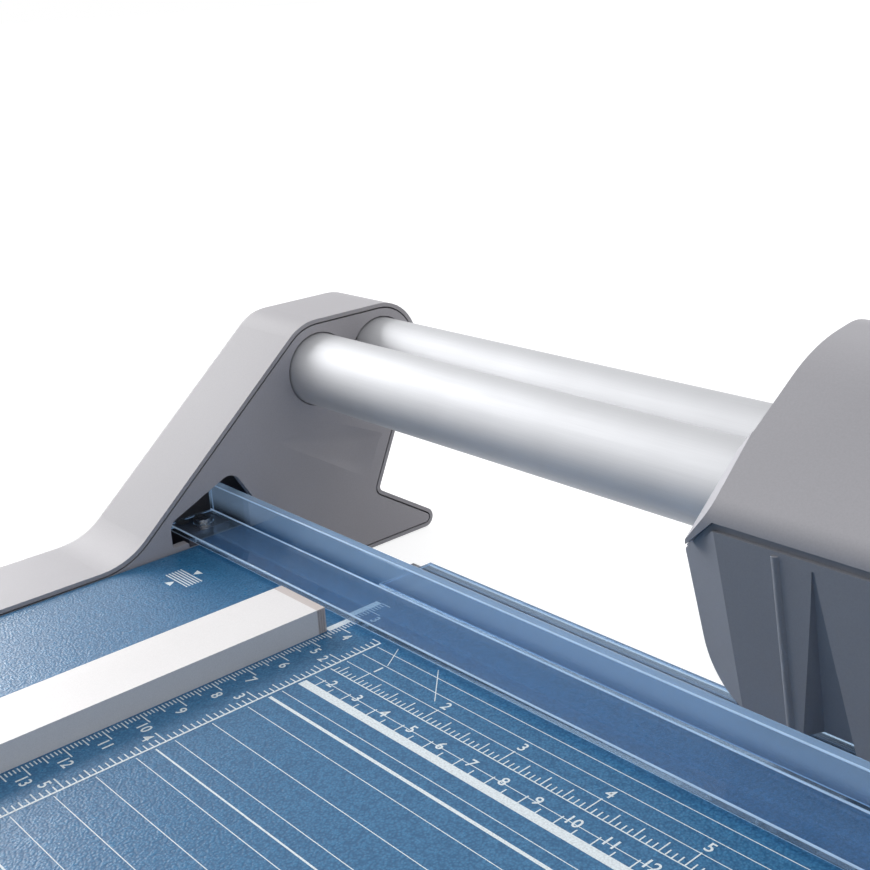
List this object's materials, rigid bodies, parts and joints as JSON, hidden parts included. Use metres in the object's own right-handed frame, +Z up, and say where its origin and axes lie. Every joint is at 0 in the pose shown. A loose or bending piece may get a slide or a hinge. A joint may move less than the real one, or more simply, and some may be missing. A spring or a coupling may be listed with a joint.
{
  "type": "paper cutter",
  "caption": "Rolling paper trimmer: flat table with a side stop and a see-through clamp, and a cutting head whose round blade runs along guide tubes between end brackets.",
  "frame": {"origin": "on the surface it stands on, under the middle of its bounding box", "axes": "+X along the cut to the user's right, +Y away from the user, +Z up"},
  "size_m": [0.578, 0.37, 0.1044],
  "materials": {
    "table_blue": "fine pebble-textured blue powder coat",
    "bracket_grey": "light grey moulding, finely grained",
    "plate_grey": "mid grey moulding",
    "head_grey": "silver-grey moulding",
    "skirt_grey": "dark blue-grey moulding",
    "stop_white": "off-white extrusion",
    "clear_plastic": "clear acrylic with a blue cast",
    "black_plastic": "black acetal",
    "bush_white": "white low-friction plastic",
    "satin_aluminium": "satin anodised",
    "ground_steel": "ground",
    "zinc_steel": "zinc plated",
    "foot_rubber": "soft black rubber"
  },
  "bodies": {
    "base": {"table_plate": "table_blue", "lower_knife": "ground_steel", "knife_screws": "zinc_steel", "left_end_cover": "bracket_grey", "right_end_cover": "bracket_grey", "left_end_plate": "plate_grey", "right_end_plate": "plate_grey", "frame_screws": "zinc_steel", "front_guide_tube": "satin_aluminium", "rear_guide_tube": "satin_aluminium", "tube_end_plugs": "black_plastic", "tube_end_screws": "zinc_steel", "rubber_feet": "foot_rubber", "stop_bar": "stop_white", "stop_bar_cap": "stop_white", "stop_bar_screws": "zinc_steel", "clamp_guide_posts": "ground_steel", "clamp_springs": "zinc_steel"},
    "clamp": {"clamp_strip": "clear_plastic", "clamp_carriers": "black_plastic", "clamp_screws": "zinc_steel"},
    "head": {"head_cover": "head_grey", "head_skirt": "skirt_grey", "head_floor": "skirt_grey", "head_carriage": "black_plastic", "glide_bushes": "bush_white", "head_end_screws": "zinc_steel", "skirt_screws": "zinc_steel", "floor_screws": "zinc_steel", "wheel_axle": "ground_steel", "axle_clip": "zinc_steel"},
    "wheel": {"cutting_wheel": "ground_steel", "wheel_hub": "black_plastic", "wheel_screws": "zinc_steel"}
  },
  "joints": [
    {"name": "head_slide", "type": "slide", "parent": "base", "child": "head", "axis": [1, 0, 0], "range_m": [-0.166, 0.233]},
    {"name": "wheel_spin", "type": "hinge", "parent": "head", "child": "wheel", "pos_m": [-0.0335, 0.11705, 0.0485], "axis": [0, 1, 0], "continuous": true},
    {"name": "clamp_lift", "type": "slide", "parent": "base", "child": "clamp", "axis": [0, 0, 1], "range_m": [-0.0007, 0.0012], "stiffness_N_per_m": 1000, "springref_m": 0.00065, "deforming": ["clamp_springs"]}
  ],
  "couplings": [
    {"joint": "wheel_spin", "follows": "head_slide", "rad_per_m": 40}
  ]
}
